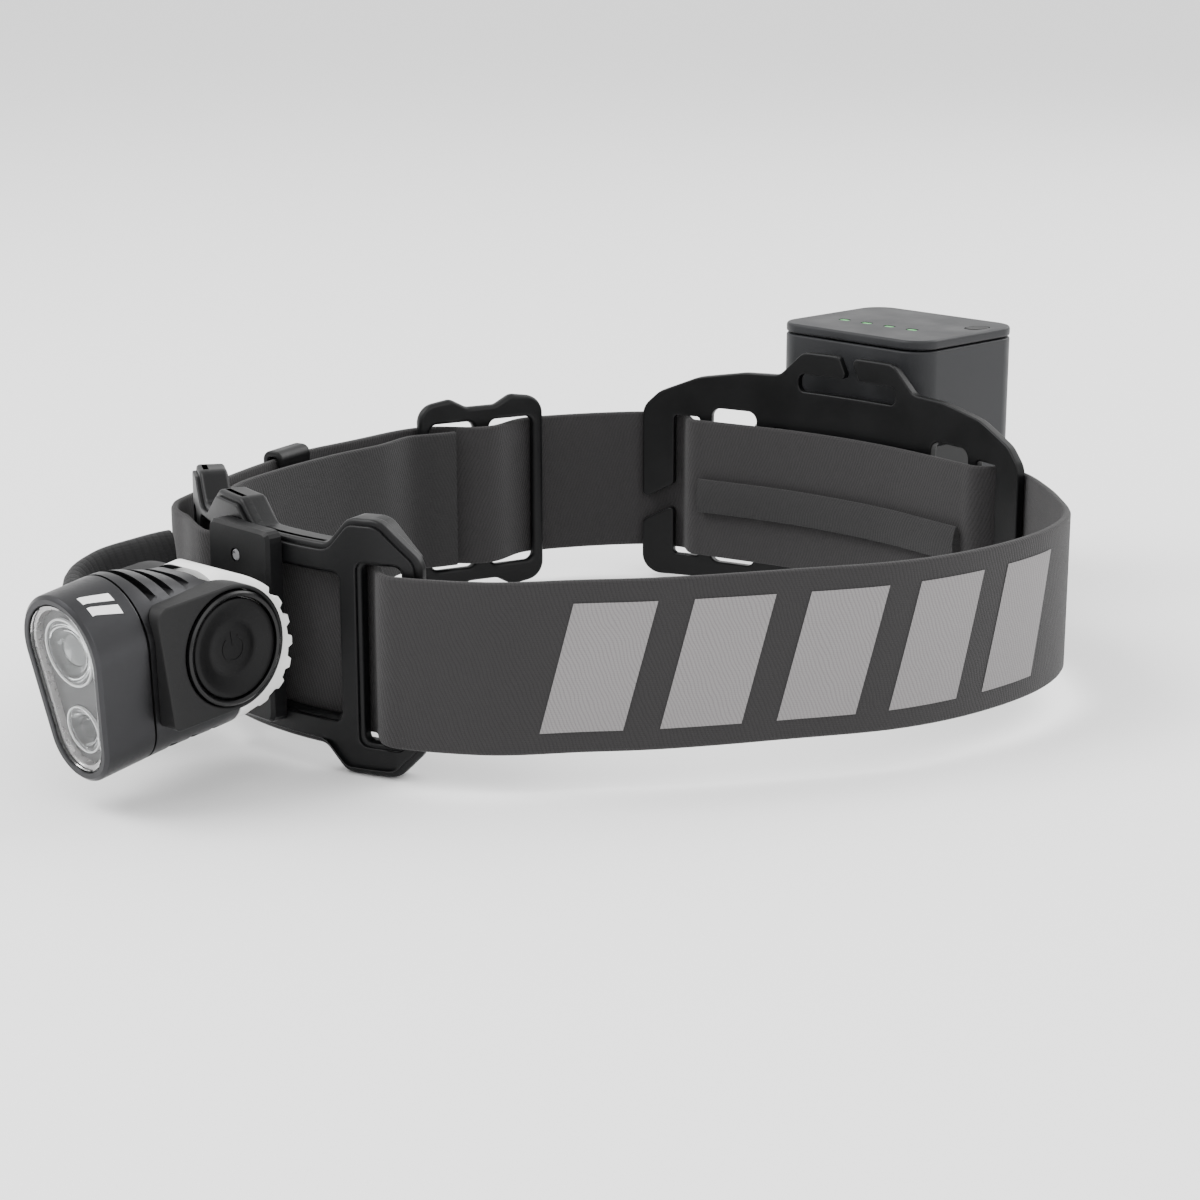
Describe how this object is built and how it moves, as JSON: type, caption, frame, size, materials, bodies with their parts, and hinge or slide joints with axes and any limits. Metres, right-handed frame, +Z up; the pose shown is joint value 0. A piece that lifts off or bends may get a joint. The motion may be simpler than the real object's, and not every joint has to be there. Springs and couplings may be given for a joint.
{
  "type": "headlamp",
  "caption": "Head torch with a tilting twin-beam lamp on a moulded bracket, an elastic headband with buckle and keeper, and a rear cradle holding a lift-out battery.",
  "frame": {"origin": "middle of the underside of the bounding box, on the surface the headlamp stands on", "axes": "+Y from the lamp to the battery, +Z up, +X to the button side of the lamp"},
  "size_m": [0.1826, 0.2808, 0.0695],
  "materials": {
    "anodised_metal": "dark grey anodised, fine satin",
    "black_rubber": "matte",
    "clear_glass": "clear, polished",
    "clear_optic": "clear moulded acrylic",
    "grey_plastic": "metallised grey",
    "circuit_board": "solder mask",
    "led_phosphor": "phosphor",
    "white_plastic": "satin white",
    "cover_plastic": "fine matte texture",
    "gloss_black": "gloss",
    "black_plastic": "satin moulded",
    "plain_steel": "plain",
    "elastic_webbing": "woven elastic with a fine diagonal rib",
    "battery_plastic": "satin grey",
    "green_light": "translucent",
    "cell_can": "printed sleeve, plain"
  },
  "bodies": {
    "frame": {"hinge_base": "black_plastic", "pivot_pin": "plain_steel", "detent_spring": "plain_steel", "base_screw_lower": "plain_steel", "base_screw_upper": "plain_steel", "front_bracket": "black_plastic", "rear_bracket": "black_plastic", "headband": "elastic_webbing", "band_inner_layer": "elastic_webbing", "lead_sleeve": "elastic_webbing", "adjuster_buckle": "black_plastic", "strap_keeper": "black_plastic", "lamp_lead": "elastic_webbing", "battery_holder": "black_plastic", "contact_block": "gloss_black", "holder_screw_left": "plain_steel", "holder_screw_right": "plain_steel"},
    "lamp": {"bezel": "anodised_metal", "lens_gasket": "black_rubber", "front_lens": "clear_glass", "optic_holder": "grey_plastic", "spot_optic": "clear_optic", "flood_optic": "clear_optic", "led_board": "circuit_board", "spot_led": "led_phosphor", "flood_led": "led_phosphor", "lamp_housing": "anodised_metal", "tilt_drum": "white_plastic", "side_cover": "cover_plastic", "far_cover": "cover_plastic", "button_ring": "gloss_black", "button_switch": "black_plastic", "lead_gland": "black_plastic", "driver_board": "circuit_board"},
    "lamp_button": {"power_button": "black_rubber"},
    "battery": {"battery_case": "battery_plastic", "battery_lid": "battery_plastic", "indicator_light_1": "green_light", "indicator_light_2": "green_light", "indicator_light_3": "green_light", "indicator_light_4": "green_light", "battery_cell_1": "cell_can", "battery_cell_2": "cell_can", "battery_cell_3": "cell_can", "battery_cell_4": "cell_can", "battery_board": "circuit_board"},
    "battery_button": {"check_button": "black_rubber"}
  },
  "joints": [
    {"name": "lamp_tilt", "type": "hinge", "parent": "frame", "child": "lamp", "pos_m": [-0.00834, -0.10688, 0.0284], "axis": [0.9981, 0.061, 0], "range_deg": [-20, 50]},
    {"name": "power_press", "type": "slide", "parent": "lamp", "child": "lamp_button", "axis": [-0.9981, -0.061, 0], "range_m": [0, 0.0008], "stiffness_N_per_m": 1500},
    {"name": "battery_lift", "type": "slide", "parent": "frame", "child": "battery", "axis": [0, 0, 1], "range_m": [0, 0.07]},
    {"name": "check_press", "type": "slide", "parent": "battery", "child": "battery_button", "axis": [0, 0, -1], "range_m": [0, 0.0005], "stiffness_N_per_m": 1500}
  ]
}
